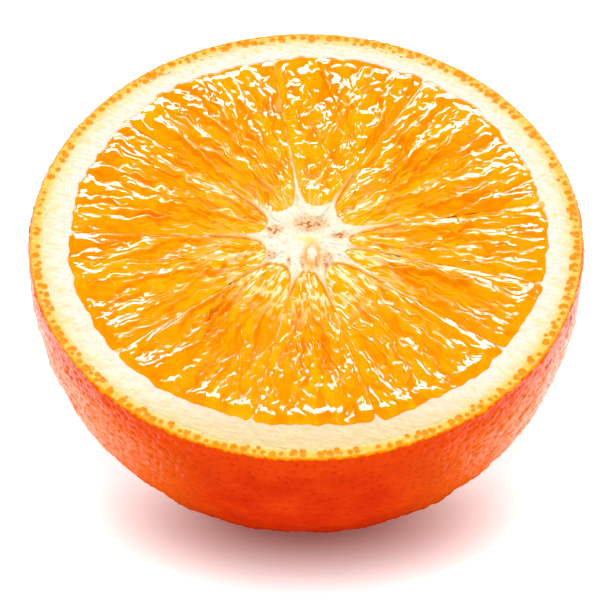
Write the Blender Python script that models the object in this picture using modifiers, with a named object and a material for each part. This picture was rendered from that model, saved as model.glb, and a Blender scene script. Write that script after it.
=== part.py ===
"""Half an orange, cut across its segments and resting on its skin.

One solid, as the fruit is one piece: a turned body with a small flat spot to
rest on, a pocket in the cut face for each segment, and the crowned flesh that
fills each pocket. What stays between the pockets is the membranes, the pith
ring and the core, which dips a little in the middle.

Metres, +Z up. The origin is the middle of the flat spot.
"""

import math

import bmesh
import bpy

MM = 0.001

# The body, a squarish ball cut a little above its widest girth
GIRTH_RADIUS = 40.0 * MM
CUT_HEIGHT = 41.0 * MM  # from the flat spot up to the cut face
GIRTH_DROP = 3.0 * MM  # from the cut face down to the widest girth
BODY_POWER = 2.2  # 2 is a true ball, more is squarer
REST_RADIUS = 7.0 * MM  # the flat spot
EDGE_ROUND = 0.4 * MM  # where the skin turns over into the cut face

# The cut face
PEEL_THICKNESS = 5.2 * MM
CORE_RADIUS = 6.3 * MM
CORE_DISH_RADIUS = 4.4 * MM
CORE_DISH_DEPTH = 0.7 * MM
MEMBRANE_ANGLES = (11.0, 60.0, 98.0, 140.0, 178.0, 218.0, 257.0, 287.0, 324.0, 346.0)
MEMBRANE_THICKNESS = 0.6 * MM
SEGMENT_CORNER_RADIUS = 2.4 * MM
POCKET_DEPTH = 0.9 * MM

# The flesh in each pocket
FLESH_CLEARANCE = 0.15 * MM  # the crease round it
FLESH_RISE = 0.3 * MM  # above the cut face
FLESH_ROOT = 1.0 * MM  # below the pocket's floor, to join the body
FLESH_CROWN = 1.0 * MM  # how far its top edge is rounded
CROWN_ANGLE = 60.0  # edges sharper than this, in degrees, are rounded

# Points closer than this are one
WELD = 0.001 * MM

# Fineness of the facets
TURN_STEPS = 80
SKIN_STEPS = 20
DISH_STEPS = 4
EDGE_STEPS = 3
TIP_STEPS = 7
CORNER_STEPS = 5
OUTER_STEPS = 10
CROWN_STEPS = 2

SKIN_COLOUR = (0.84, 0.13, 0.01, 1.0)
SKIN_ROUGHNESS = 0.42
SKIN_METALLIC = 0.0


def clear_scene():
    """Removes every object that the file starts with."""
    for old in list(bpy.data.objects):
        bpy.data.objects.remove(old, do_unlink=True)


def new_collection(name):
    """A collection of the scene's own, for the part or for its cutters."""
    made = bpy.data.collections.new(name)
    bpy.context.scene.collection.children.link(made)
    return made


def arc(centre, radius, start, end, steps):
    """Points on a circle from one angle to another, both ends included."""
    return [
        (
            centre[0] + radius * math.cos(start + (end - start) * i / steps),
            centre[1] + radius * math.sin(start + (end - start) * i / steps),
        )
        for i in range(steps + 1)
    ]


# The body


def half_height():
    """Height of the ball from its girth to its pole, which leaves the flat spot REST_RADIUS wide."""
    share = (1.0 - (REST_RADIUS / GIRTH_RADIUS) ** BODY_POWER) ** (1.0 / BODY_POWER)
    return (CUT_HEIGHT - GIRTH_DROP) / share


def skin_radius(height):
    """Radius of the skin at a height above the flat spot."""
    from_girth = abs(height - (CUT_HEIGHT - GIRTH_DROP)) / half_height()
    return GIRTH_RADIUS * (1.0 - from_girth**BODY_POWER) ** (1.0 / BODY_POWER)


def body_profile():
    """Radius and height down the body: the core's dish, the cut edge, the skin and the flat spot."""
    curvature = (CORE_DISH_RADIUS**2 + CORE_DISH_DEPTH**2) / (2.0 * CORE_DISH_DEPTH)
    reach = math.asin(CORE_DISH_RADIUS / curvature)
    dish_centre = (0.0, CUT_HEIGHT - CORE_DISH_DEPTH + curvature)
    bottom = -math.pi / 2.0
    dish = arc(dish_centre, curvature, bottom, bottom + reach, DISH_STEPS)

    edge_radius = skin_radius(CUT_HEIGHT - EDGE_ROUND)
    edge_centre = (edge_radius - EDGE_ROUND, CUT_HEIGHT - EDGE_ROUND)
    edge = arc(edge_centre, EDGE_ROUND, math.pi / 2.0, 0.0, EDGE_STEPS)

    # Equal turns of the squarish ball's own angle keep the facets even.
    depth = half_height()
    last = math.acos((REST_RADIUS / GIRTH_RADIUS) ** (BODY_POWER / 2.0))
    skin = []
    for i in range(SKIN_STEPS + 1):
        turn = last * i / SKIN_STEPS
        radius = GIRTH_RADIUS * math.cos(turn) ** (2.0 / BODY_POWER)
        height = CUT_HEIGHT - GIRTH_DROP - depth * math.sin(turn) ** (2.0 / BODY_POWER)
        skin.append((radius, max(height, 0.0)))
    return [*dish, *edge, *skin, (0.0, 0.0)]


def make_body(collection):
    """The whole half fruit as a turned solid with a plain cut face."""
    mesh = bpy.data.meshes.new("orange_half")
    profile = body_profile()
    joints = [(i, i + 1) for i in range(len(profile) - 1)]
    mesh.from_pydata([(r, 0.0, z) for r, z in profile], joints, [])
    body = bpy.data.objects.new("orange_half", mesh)
    collection.objects.link(body)
    screw = body.modifiers.new("turn", "SCREW")
    screw.axis = "Z"
    screw.steps = TURN_STEPS
    screw.render_steps = TURN_STEPS
    screw.use_merge_vertices = True
    screw.merge_threshold = WELD
    return body


# The segments


def segment_outline(first, last, gap):
    """Closed outline of one segment between two membrane angles, in radians.

    gap is how far it keeps from the membranes' middles. Its sides run along the
    membranes, its tip and its two outer corners are round, and its outer side
    follows the peel.
    """
    half = (last - first) / 2.0
    middle = (last + first) / 2.0
    slack = gap - MEMBRANE_THICKNESS / 2.0
    outer = GIRTH_RADIUS - PEEL_THICKNESS - slack
    inner = CORE_RADIUS + slack
    tip_radius = (inner * math.sin(half) - gap) / (1.0 - math.sin(half))
    corner = SEGMENT_CORNER_RADIUS - slack

    square = math.pi / 2.0
    tip_centre = ((tip_radius + gap) / math.sin(half), 0.0)
    tip_turn = square + half
    tip = arc(tip_centre, tip_radius, 2.0 * math.pi - tip_turn, tip_turn, TIP_STEPS)

    lean = math.asin((gap + corner) / (outer - corner))
    at = half - lean
    reach = outer - corner
    lower_centre = (reach * math.cos(at), -reach * math.sin(at))
    upper_centre = (lower_centre[0], -lower_centre[1])
    lower = arc(lower_centre, corner, -half - square, -at, CORNER_STEPS)
    upper = arc(upper_centre, corner, at, half + square, CORNER_STEPS)
    rim = arc((0.0, 0.0), outer, -at, at, OUTER_STEPS)[1:-1]

    turn_cos, turn_sin = math.cos(middle), math.sin(middle)
    outline = [*reversed(tip), *lower, *rim, *upper]
    return [(x * turn_cos - y * turn_sin, x * turn_sin + y * turn_cos) for x, y in outline]


def extruded(name, outline, low, high, collection):
    """A mesh object of a flat outline, standing from one height to another."""
    curve = bpy.data.curves.new(name, "CURVE")
    curve.dimensions = "2D"
    curve.fill_mode = "BOTH"
    curve.extrude = (high - low) / 2.0
    spline = curve.splines.new("POLY")
    spline.points.add(len(outline) - 1)
    for point, (x, y) in zip(spline.points, outline):
        point.co = (x, y, 0.0, 1.0)
    spline.use_cyclic_u = True
    flat = bpy.data.objects.new(name + "_outline", curve)
    collection.objects.link(flat)
    flat.location = (0.0, 0.0, (low + high) / 2.0)
    bpy.context.view_layer.update()

    graph = bpy.context.evaluated_depsgraph_get()
    mesh = bpy.data.meshes.new_from_object(flat.evaluated_get(graph))
    mesh.transform(flat.matrix_world)
    bpy.data.objects.remove(flat, do_unlink=True)
    welded = bmesh.new()
    welded.from_mesh(mesh)
    bmesh.ops.remove_doubles(welded, verts=welded.verts, dist=WELD)
    bmesh.ops.recalc_face_normals(welded, faces=welded.faces)
    welded.to_mesh(mesh)
    welded.free()
    solid = bpy.data.objects.new(name, mesh)
    collection.objects.link(solid)
    solid.hide_render = True
    solid.display_type = "WIRE"
    return solid


def join(body, other, operation):
    """Cuts another solid from the body, or joins it on."""
    boolean = body.modifiers.new(other.name, "BOOLEAN")
    boolean.operation = operation
    boolean.solver = "EXACT"
    boolean.object = other


def make_segment(number, first, last, body, cutters):
    """Sinks one pocket into the cut face and sets its crowned flesh in it."""
    floor = CUT_HEIGHT - POCKET_DEPTH
    wall = MEMBRANE_THICKNESS / 2.0
    pocket = segment_outline(first, last, wall)
    cutter = extruded(f"pocket_{number:02d}", pocket, floor, CUT_HEIGHT + POCKET_DEPTH, cutters)
    join(body, cutter, "DIFFERENCE")

    outline = segment_outline(first, last, wall + FLESH_CLEARANCE)
    top = CUT_HEIGHT + FLESH_RISE
    flesh = extruded(f"flesh_{number:02d}", outline, floor - FLESH_ROOT, top, cutters)
    crown = flesh.modifiers.new("crown", "BEVEL")
    crown.width = FLESH_CROWN
    crown.segments = CROWN_STEPS
    crown.limit_method = "ANGLE"
    crown.angle_limit = math.radians(CROWN_ANGLE)
    join(body, flesh, "UNION")


def make_segments(body, cutters):
    """One pocket with its flesh between each membrane and the next."""
    angles = [math.radians(a) for a in MEMBRANE_ANGLES]
    following = [*angles[1:], angles[0] + 2.0 * math.pi]
    for number, (first, last) in enumerate(zip(angles, following), start=1):
        make_segment(number, first, last, body, cutters)


# The finish


def skin_material():
    """Waxy orange skin."""
    material = bpy.data.materials.new("orange_skin")
    material.use_nodes = True
    shader = material.node_tree.nodes["Principled BSDF"]
    shader.inputs["Base Color"].default_value = SKIN_COLOUR
    shader.inputs["Roughness"].default_value = SKIN_ROUGHNESS
    shader.inputs["Metallic"].default_value = SKIN_METALLIC
    return material


def main():
    """Builds the half orange."""
    clear_scene()
    fruit = new_collection("orange_half")
    cutters = new_collection("cutters")
    body = make_body(fruit)
    make_segments(body, cutters)
    body.data.materials.append(skin_material())


main()
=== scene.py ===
"""Half an orange, cut across its segments, on a white floor under soft studio light.

The cut face is a web of white tissue (pith ring, membranes and core) with the
flesh of ten segments bulging up between. Each segment is a crowd of teardrop
juice sacs that point at the core. Outside the pith ring come the zest, with its
cut oil glands, and the pebbled skin with its pores.

Lengths are in millimetres and angles in radians until a mesh is made.
"""

import logging
import math
from collections.abc import Sequence
from dataclasses import dataclass, field, replace
from enum import Enum

import bpy
import numpy as np
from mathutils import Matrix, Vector


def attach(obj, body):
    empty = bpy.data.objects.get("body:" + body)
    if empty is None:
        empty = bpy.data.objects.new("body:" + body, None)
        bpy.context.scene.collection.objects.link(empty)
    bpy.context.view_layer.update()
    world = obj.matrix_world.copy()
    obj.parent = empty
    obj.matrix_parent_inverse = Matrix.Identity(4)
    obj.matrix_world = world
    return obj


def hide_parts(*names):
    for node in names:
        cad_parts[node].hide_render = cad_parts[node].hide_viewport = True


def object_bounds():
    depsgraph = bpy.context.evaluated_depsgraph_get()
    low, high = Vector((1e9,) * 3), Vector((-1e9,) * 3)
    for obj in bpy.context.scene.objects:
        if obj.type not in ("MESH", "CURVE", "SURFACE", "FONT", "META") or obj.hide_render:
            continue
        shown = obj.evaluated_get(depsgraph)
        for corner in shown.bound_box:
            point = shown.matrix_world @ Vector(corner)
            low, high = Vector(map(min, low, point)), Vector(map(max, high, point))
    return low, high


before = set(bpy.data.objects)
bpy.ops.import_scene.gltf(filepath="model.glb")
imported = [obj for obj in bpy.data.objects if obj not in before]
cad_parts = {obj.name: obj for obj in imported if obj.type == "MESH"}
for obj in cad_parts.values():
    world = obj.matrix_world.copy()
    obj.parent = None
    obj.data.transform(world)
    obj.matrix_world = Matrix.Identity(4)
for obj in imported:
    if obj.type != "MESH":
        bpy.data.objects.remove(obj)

Array = np.ndarray
Colour = tuple[float, float, float, float]
Material = bpy.types.Material
Object = bpy.types.Object
Node = bpy.types.Node
Tree = bpy.types.NodeTree
Socket = bpy.types.NodeSocket

log = logging.getLogger("orange_half")

MM = 0.001
NODE = "orange_half"
CAD_LOW, CAD_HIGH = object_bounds()
GIRTH = (CAD_HIGH.x - CAD_LOW.x) / 2.0 / MM  # the fruit's greatest radius
FLESH_RISE = 0.3  # how far the CAD flesh stands above the cut face
EDGE_ROUND = 0.35  # where the skin turns over into the cut face
FULL_TURN = 2.0 * math.pi


class Slot(Enum):
    """The record's material slots."""

    PEEL = "peel"
    PITH = "pith"
    FLESH = "flesh"


# Numbers and shapes


def linear(hex_colour: str) -> Colour:
    """Turns an sRGB hex colour into a linear one.

    Args:
        hex_colour: Six hex digits after a hash, such as "#ff8800".

    Returns:
        Red, green, blue and an alpha of 1.
    """
    parts = [int(hex_colour[i : i + 2], 16) / 255.0 for i in (1, 3, 5)]
    red, green, blue = (c / 12.92 if c <= 0.04045 else ((c + 0.055) / 1.055) ** 2.4 for c in parts)
    return red, green, blue, 1.0


def smooth_step(low: float, high: float, value: Array) -> Array:
    """A ramp from 0 at low to 1 at high that starts and ends level: 3 t squared - 2 t cubed."""
    t = np.clip((value - low) / (high - low), 0.0, 1.0)
    return t * t * (3.0 - 2.0 * t)


def smooth_min(values: Sequence[Array], softness: float) -> Array:
    """The smallest value with its corners rounded: -softness ln(sum of exp(-value / softness)).

    Args:
        values: The values to choose from, all of one shape.
        softness: How far off a corner the rounding begins.

    Returns:
        The smallest value at each point.
    """
    total = -np.asarray(values[0]) / softness
    for value in values[1:]:
        total = np.logaddexp(total, -value / softness)
    return -softness * total


def shoulder(inside: Array, radius: float) -> Array:
    """A quarter round: from -radius at an edge up to 0 at a distance of radius inside it."""
    t = np.clip(inside / radius, 0.0, 1.0)
    return radius * (np.sqrt(t * (2.0 - t)) - 1.0)


@dataclass(frozen=True)
class Ripple:
    """Smooth random relief of about unit size: cosine waves in random directions, added up.

    Attributes:
        seed: Picks the directions, lengths and phases.
        wavelength: The waves' middle length.
        height: What the relief is multiplied by.
        spread: How much their lengths differ, as the sigma of a log-normal law.
        waves: How many there are.
    """

    seed: int
    wavelength: float
    height: float = 1.0
    spread: float = 0.35
    waves: int = 28

    def at(self, x: Array, y: Array, z: Array | float = 0.0) -> Array:
        """The relief at points: the sum of cos(k . p + phase), times height and the root of 2 / waves.

        Args:
            x: The points' x.
            y: Their y.
            z: Their z, or a number to keep every wave level.

        Returns:
            The relief's height.
        """
        rng = np.random.default_rng(self.seed)
        heading = rng.normal(size=(self.waves, 3))
        if np.ndim(z) == 0:
            heading[:, 2] = 0.0
        heading /= np.linalg.norm(heading, axis=1, keepdims=True)
        lengths = self.wavelength * np.exp(self.spread * rng.normal(size=(self.waves, 1)))
        k = FULL_TURN * heading / lengths
        phases = rng.uniform(0.0, FULL_TURN, self.waves)
        total = np.zeros(np.shape(x))
        for (kx, ky, kz), phase in zip(k, phases):
            total += np.cos(kx * x + ky * y + kz * z + phase)
        return total * math.sqrt(2.0 / self.waves) * self.height

    def numbered(self, number: int) -> "Ripple":
        """The same kind of relief for another piece, with waves of its own."""
        return replace(self, seed=self.seed + number)


@dataclass
class Sheet:
    """A grid of points, rows by columns, that becomes one mesh of quads facing outwards.

    Attributes:
        points: Places in millimetres, of shape (rows, columns, 3).
        wrap: True where the last column joins the first.
        pole: A point that closes the last row, or None.
        keep: True at the points whose quads stay, or None for all.
        notes: Attribute names and their values at the points.
    """

    points: Array
    wrap: bool = False
    pole: tuple[float, float, float] | None = None
    keep: Array | None = None
    notes: dict[str, Array] = field(default_factory=dict)

    def quads(self) -> Array:
        """Joins the points by fours: a point, the next row's, that one's neighbour, and its own.

        Returns:
            Point numbers, of shape (quads, 4).
        """
        rows, columns = self.points.shape[:2]
        index = np.arange(rows * columns).reshape(rows, columns)
        if self.wrap:
            index = np.concatenate([index, index[:, :1]], axis=1)
        corners = np.stack([index[:-1, :-1], index[1:, :-1], index[1:, 1:], index[:-1, 1:]], axis=-1)
        corners = corners.reshape(-1, 4)
        if self.keep is not None:
            corners = corners[self.keep.ravel()[corners].any(axis=1)]
        return corners

    def build(self, name: str, material: Material) -> Object:
        """Makes the mesh, shaded smooth, with its attributes and its material.

        Args:
            name: The object's name.
            material: Its finish.

        Returns:
            The new object, at the origin.
        """
        quads = self.quads()
        points = self.points.reshape(-1, 3) * MM
        notes = {key: np.broadcast_to(v, self.points.shape[:2]).ravel() for key, v in self.notes.items()}
        fans = np.zeros((0, 3), int)
        if self.pole is not None:
            rows, columns = self.points.shape[:2]
            ring = np.arange((rows - 1) * columns, rows * columns)
            tip = np.full(columns, len(points))
            fans = np.stack([ring, tip, np.roll(ring, -1)], axis=1)
            points = np.concatenate([points, np.array([self.pole]) * MM])
            notes = {key: np.append(value, value[ring].mean()) for key, value in notes.items()}

        used = np.zeros(len(points), bool)
        used[quads.ravel()] = True
        used[fans.ravel()] = True
        renumber = np.cumsum(used) - 1
        corners = renumber[np.concatenate([quads.ravel(), fans.ravel()])]
        starts = np.concatenate([np.arange(len(quads)) * 4, quads.size + np.arange(len(fans)) * 3])

        mesh = bpy.data.meshes.new(name)
        mesh.vertices.add(int(used.sum()))
        mesh.vertices.foreach_set("co", points[used].astype(np.float32).ravel())
        mesh.loops.add(len(corners))
        mesh.loops.foreach_set("vertex_index", corners.astype(np.int32))
        mesh.polygons.add(len(starts))
        mesh.polygons.foreach_set("loop_start", starts.astype(np.int32))
        mesh.update(calc_edges=True)
        mesh.shade_smooth()
        for key, value in notes.items():
            attribute = mesh.attributes.new(key, "FLOAT", "POINT")
            attribute.data.foreach_set("value", value[used].astype(np.float32))
        mesh.materials.append(material)
        made = bpy.data.objects.new(name, mesh)
        bpy.context.scene.collection.objects.link(made)
        return made


# Finishes


def add_node(tree: Tree, kind: str, inputs: dict | None = None, **settings: object) -> Node:
    """Adds a node, gives it its settings, and fills or links its inputs.

    Inputs that share a name go by number. A Mix node's share is 0, its two values
    are 2 and 3 and its two colours 6 and 7. A Map Range node's are 0 for the value,
    1 and 2 for where it comes from, and 3 and 4 for where it goes.

    Args:
        tree: The node tree.
        kind: The node's type name.
        inputs: Input name or number, and a value or the socket that feeds it.
        **settings: The node's own properties.

    Returns:
        The new node.
    """
    node = tree.nodes.new(kind)
    for key, value in settings.items():
        setattr(node, key, value)
    for key, value in (inputs or {}).items():
        if isinstance(value, Socket):
            tree.links.new(value, node.inputs[key])
        else:
            node.inputs[key].default_value = value
    return node


@dataclass(frozen=True)
class Note:
    """A pattern that the mesh carries as one of its attributes."""

    name: str

    def value(self, tree: Tree) -> Socket:
        """The attribute's value."""
        return add_node(tree, "ShaderNodeAttribute", attribute_name=self.name).outputs["Fac"]


@dataclass(frozen=True)
class Noise:
    """A blotchy pattern on object coordinates.

    Attributes:
        size: About how wide its blotches are, in millimetres.
        detail: How many finer layers it has.
    """

    size: float
    detail: float

    def value(self, tree: Tree) -> Socket:
        """The pattern's value, about 0.5 in the mean.

        Args:
            tree: The material's node tree.

        Returns:
            The value's socket.
        """
        place = add_node(tree, "ShaderNodeTexCoord").outputs["Object"]
        inputs = {"Vector": place, "Scale": 1.0 / (self.size * MM), "Detail": self.detail}
        return add_node(tree, "ShaderNodeTexNoise", inputs).outputs["Fac"]


@dataclass(frozen=True)
class Fibres:
    """Noise that the mesh's "across" and "along" notes stretch into fibres.

    Attributes:
        width: About how wide a fibre is, in millimetres.
        detail: How many finer layers they have.
    """

    width: float
    detail: float

    def value(self, tree: Tree) -> Socket:
        """The pattern's value, about 0.5 in the mean.

        Args:
            tree: The material's node tree.

        Returns:
            The value's socket.
        """
        across, along = (Note(name).value(tree) for name in ("across", "along"))
        place = add_node(tree, "ShaderNodeCombineXYZ", {0: across, 1: along}).outputs[0]
        inputs = {"Vector": place, "Scale": 1.0 / self.width, "Detail": self.detail}
        return add_node(tree, "ShaderNodeTexNoise", inputs).outputs["Fac"]


Pattern = Note | Noise | Fibres


@dataclass(frozen=True)
class Layer:
    """A colour laid over those below it, as strongly as a pattern says.

    Attributes:
        colour: The hex colour.
        pattern: Where it shows.
        ramp: Pattern values where it begins and is strongest, or None to use the pattern as it is.
        top: Its greatest strength, where it has a ramp.
        fade: A second pattern that weakens it, or None.
    """

    colour: str
    pattern: Pattern
    ramp: tuple[float, float] | None = None
    top: float = 1.0
    fade: Pattern | None = None

    def over(self, tree: Tree, below: Socket | Colour) -> Socket:
        """Lays the colour over what is below.

        Args:
            tree: The material's node tree.
            below: The colour so far.

        Returns:
            The colour with this layer on it.
        """
        share = self.pattern.value(tree)
        if self.ramp is not None:
            limits = {0: share, 1: self.ramp[0], 2: self.ramp[1], 3: 0.0, 4: self.top}
            share = add_node(tree, "ShaderNodeMapRange", limits, interpolation_type="SMOOTHSTEP").outputs[0]
        if self.fade is not None:
            factors = {0: share, 1: self.fade.value(tree)}
            share = add_node(tree, "ShaderNodeMath", factors, operation="MULTIPLY").outputs[0]
        ends = {0: share, 6: below, 7: linear(self.colour)}
        return add_node(tree, "ShaderNodeMix", ends, data_type="RGBA").outputs[2]


@dataclass(frozen=True)
class Bump:
    """Relief too fine for the mesh.

    Attributes:
        noise: Its pattern.
        depth: How deep it is, in millimetres.
        strength: How much of it shows.
    """

    noise: Noise
    depth: float
    strength: float


@dataclass(frozen=True)
class Varied:
    """A shader input that goes from the finish's own value to another one.

    Attributes:
        socket: The input's name.
        note: The note that it follows.
        top: Its value where the note is 1.
    """

    socket: str
    note: Note
    top: float


@dataclass(frozen=True)
class Finish:
    """What every finish shares: one Principled shader, a base colour under layers, and bump.

    Attributes:
        name: The material's name.
        roughness: How much the surface blurs what it mirrors.
        ior: Its index of refraction.
        specular: How strongly it mirrors, where 0.5 is what the index gives.
        subsurface: Share of the light that travels inside.
        scatter: How far red, green and blue light travel inside, in millimetres.
        bump: Its fine relief, or None.
        varied: The inputs that differ from place to place.
    """

    name: str
    roughness: float
    ior: float
    specular: float
    subsurface: float
    scatter: tuple[float, float, float]
    bump: Bump | None = None
    varied: tuple[Varied, ...] = ()

    def paint(self) -> tuple[str, list[Layer]]:
        """The base colour, and the layers over it from the bottom up."""
        raise NotImplementedError

    def material(self) -> Material:
        """Builds the material, with its uniform values on the shader itself.

        Returns:
            The new material.
        """
        material = bpy.data.materials.new(self.name)
        material.use_nodes = True
        tree = material.node_tree
        shader = tree.nodes["Principled BSDF"]
        uniform = {
            "Roughness": self.roughness,
            "IOR": self.ior,
            "Specular IOR Level": self.specular,
            "Subsurface Weight": self.subsurface,
            "Subsurface Radius": self.scatter,
            "Subsurface Scale": MM,
        }
        for name, value in uniform.items():
            shader.inputs[name].default_value = value
        base, layers = self.paint()
        colour = linear(base)
        for layer in layers:
            colour = layer.over(tree, colour)
        tree.links.new(colour, shader.inputs["Base Color"])
        for varied in self.varied:
            ends = {0: varied.note.value(tree), 2: uniform[varied.socket], 3: varied.top}
            value = add_node(tree, "ShaderNodeMix", ends).outputs[0]
            tree.links.new(value, shader.inputs[varied.socket])
        if self.bump is not None:
            height = self.bump.noise.value(tree)
            inputs = {"Height": height, "Distance": self.bump.depth * MM, "Strength": self.bump.strength}
            tree.links.new(add_node(tree, "ShaderNodeBump", inputs).outputs[0], shader.inputs["Normal"])
        return material


@dataclass(frozen=True)
class PulpFinish(Finish):
    """Juice sacs: thin-walled bags of clear orange juice, cut open and wet.

    Light sinks in and comes back saturated, and the wet film on top mirrors the
    lamps as small hard-edged flecks. The orange differs from sac to sac and is
    paler towards the core, with fine fibres and creamy sac walls. It is painted a
    deeper orange in the creases, as painted shade. Pale strands reach out where
    the core has smeared over it; they are painted strongest in front, where they
    also stand in for highlights.
    """

    name: str = "wet_pulp"
    roughness: float = 0.05
    ior: float = 1.5
    specular: float = 0.5
    subsurface: float = 0.2
    scatter: tuple[float, float, float] = (0.9, 0.5, 0.15)
    flesh: str = "#ffa203"
    deep: str = "#ff8b00"
    pale: str = "#ffb808"
    wall: str = "#ffd27a"
    # Pale strands, partly painted highlight.
    veil_and_painted_highlight: str = "#fff2b8"
    fibres: Fibres = Fibres(0.45, 3.0)

    def paint(self) -> tuple[str, list[Layer]]:
        """Deep orange, sac tones, painted crease shade, fibres, walls, and strands partly painted as
        highlight.
        """
        return self.deep, [
            Layer(self.flesh, Note("tone"), (0.0, 0.55)),
            Layer(self.pale, Note("tone"), (0.55, 1.0), 0.7),
            Layer(self.pale, Note("inward"), (0.2, 1.0), 0.65),
            # Painted shade: a deeper orange in the creases between sacs.
            Layer(self.deep, Note("sunk"), (0.0, 1.0), 0.5),
            Layer(self.pale, self.fibres, (0.55, 0.8), 0.35),
            Layer(self.wall, Note("wall"), (0.5, 1.0), 0.35),
            # Pale strands from the core: partly real, partly painted highlight.
            Layer(self.veil_and_painted_highlight, Note("veil_and_painted_highlight"), (0.0, 1.0), 0.9),
        ]


@dataclass(frozen=True)
class PithFinish(Finish):
    """Albedo: the dry, spongy white tissue under the skin, cut clean across.

    It looks soft and matt, nearly white by the flesh and cream by the zest, with
    faint fibres and yellow streaks. Its front is painted darker and browner, as
    painted shade.
    """

    name: str = "white_pith"
    roughness: float = 0.6
    ior: float = 1.4
    specular: float = 0.25
    subsurface: float = 0.25
    scatter: tuple[float, float, float] = (1.2, 0.9, 0.6)
    bump: Bump = Bump(Noise(0.35, 4.0), 0.05, 0.6)
    white: str = "#efe2d0"
    cream: str = "#ecd8a4"
    fibre: str = "#ead6b2"
    streak: str = "#f3d684"
    # Painted shade on the front.
    painted_front_shade: str = "#dcc184"

    def paint(self) -> tuple[str, list[Layer]]:
        """White, then blotches, cream outwards, streaks and painted shade on the front."""
        return self.white, [
            Layer(self.fibre, Noise(0.9, 4.0), (0.45, 0.75), 0.6),
            Layer(self.cream, Note("outward"), (0.45, 1.0), 0.9),
            Layer(self.streak, Note("streak")),
            # Painted shade: darker and browner towards the front.
            Layer(self.painted_front_shade, Note("painted_front_shade")),
        ]


@dataclass(frozen=True)
class MembraneFinish(Finish):
    """Segment walls: thin skins of damp cellulose seen on edge, cream and see-through.

    They are cream by the core, and pick up the flesh's colour further out.
    """

    name: str = "damp_membrane"
    roughness: float = 0.3
    ior: float = 1.4
    specular: float = 0.25
    subsurface: float = 0.4
    scatter: tuple[float, float, float] = (1.5, 0.9, 0.4)
    near_core: str = "#ffe2ac"
    far: str = "#ffbe48"

    def paint(self) -> tuple[str, list[Layer]]:
        """Cream, then the flesh's colour outwards, then cream patches."""
        return self.near_core, [
            Layer(self.far, Note("outward"), (0.0, 0.6)),
            Layer(self.near_core, Noise(0.8, 3.0), (0.5, 0.7), 0.5),
        ]


@dataclass(frozen=True)
class CoreFinish(Finish):
    """The core: loose white pith with the cut ends of its veins.

    White and spongy, with warm arms, rusty hollows where it has torn, and a
    yellowish heart. Its rim, the slit round its nub and the skirt down into the
    crease are amber: partly juice soaked in there, partly a painted glow that warms
    the shade there.
    """

    name: str = "spongy_core"
    roughness: float = 0.45
    ior: float = 1.4
    specular: float = 0.12
    subsurface: float = 0.1
    scatter: tuple[float, float, float] = (1.4, 0.9, 0.5)
    bump: Bump = Bump(Noise(0.3, 4.0), 0.06, 0.7)
    white: str = "#fdf0dc"
    cream: str = "#f0d9b6"
    haze: str = "#e3c294"
    rust: str = "#d27208"
    yellow: str = "#fde27a"
    arm: str = "#ffe9bd"
    # Soaked juice and a painted glow in the shaded rim.
    amber: str = "#ffb42c"

    def paint(self) -> tuple[str, list[Layer]]:
        """White, then blotches, warm arms, the amber rim (soaked juice and painted glow), the heart and the
        stains.
        """
        return self.white, [
            Layer(self.cream, Noise(0.7, 5.0), (0.42, 0.68), 0.7),
            Layer(self.arm, Note("arm")),
            # Amber: partly soaked juice, partly a painted glow in the shade of the rim, slit and skirt.
            Layer(self.amber, Note("amber")),
            Layer(self.yellow, Note("heart")),
            Layer(self.haze, Note("haze")),
            Layer(self.rust, Note("stain")),
        ]


@dataclass(frozen=True)
class ZestFinish(Finish):
    """Flavedo: the outer coloured layer, cut across, with its oil glands cut open.

    Cream to yellow between the glands, amber in them, with golden patches and a
    golden edge.
    """

    name: str = "cut_zest"
    roughness: float = 0.45
    ior: float = 1.45
    specular: float = 0.05
    subsurface: float = 0.1
    scatter: tuple[float, float, float] = (1.0, 0.6, 0.15)
    cream: str = "#f0d894"
    yellow: str = "#fac85c"
    gland: str = "#ee9000"
    outer: str = "#f2a000"

    def paint(self) -> tuple[str, list[Layer]]:
        """Cream, then yellow outwards, the edge, golden patches near it, and the glands."""
        return self.cream, [
            Layer(self.yellow, Note("outward"), (0.0, 0.5)),
            Layer(self.outer, Note("outward"), (0.84, 1.0), 0.85),
            Layer(self.outer, Noise(0.8, 4.0), (0.42, 0.62), 0.6, fade=Note("outward")),
            Layer(self.gland, Note("gland")),
        ]


@dataclass(frozen=True)
class SkinFinish(Finish):
    """Orange peel: a thin natural wax over pebbled skin full of oil glands.

    Deep red-orange and lighter by the cut. It is painted lighter on the flanks, as
    painted light, and darker towards the foot and in its pores, as painted shade. In
    front the wax is nearly matt, and its broken gloss grows on the flanks.
    """

    name: str = "waxy_peel"
    roughness: float = 0.22
    ior: float = 1.45
    specular: float = 0.04
    subsurface: float = 0.05
    scatter: tuple[float, float, float] = (1.6, 0.5, 0.1)
    bump: Bump = Bump(Noise(0.5, 3.0), 0.09, 0.7)
    varied: tuple[Varied, ...] = (
        Varied("Roughness", Note("flank"), 0.38),
        Varied("Specular IOR Level", Note("sheen"), 0.5),
    )
    deep: str = "#d22c00"
    light: str = "#e84600"
    # Painted light on the flanks.
    flank: str = "#ff7a04"
    # Painted shade low down.
    low: str = "#9c1800"
    # Painted shade in the pores.
    pore: str = "#b82000"
    edge: str = "#f5a200"

    def paint(self) -> tuple[str, list[Layer]]:
        """Deep orange, then patches, painted foot shade and flank light, the top, painted pore shade and the
        cut edge.
        """
        return self.deep, [
            Layer(self.light, Noise(5.0, 4.0), (0.3, 0.75), 0.6),
            # Painted shade: darker towards the foot.
            Layer(self.low, Note("low")),
            # Painted light: lighter orange on the left and right flanks.
            Layer(self.flank, Note("flank")),
            Layer(self.light, Note("near_cut"), (0.0, 1.0), 0.8),
            # Painted shade: darker in the pores.
            Layer(self.pore, Note("pore"), (0.2, 1.0), 0.3),
            Layer(self.edge, Note("edge")),
        ]


# The fruit


@dataclass(frozen=True)
class Wall:
    """One membrane on the plan: its direction, and the extra half width and taper of its root."""

    angle: float
    arm: float
    taper: float


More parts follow.
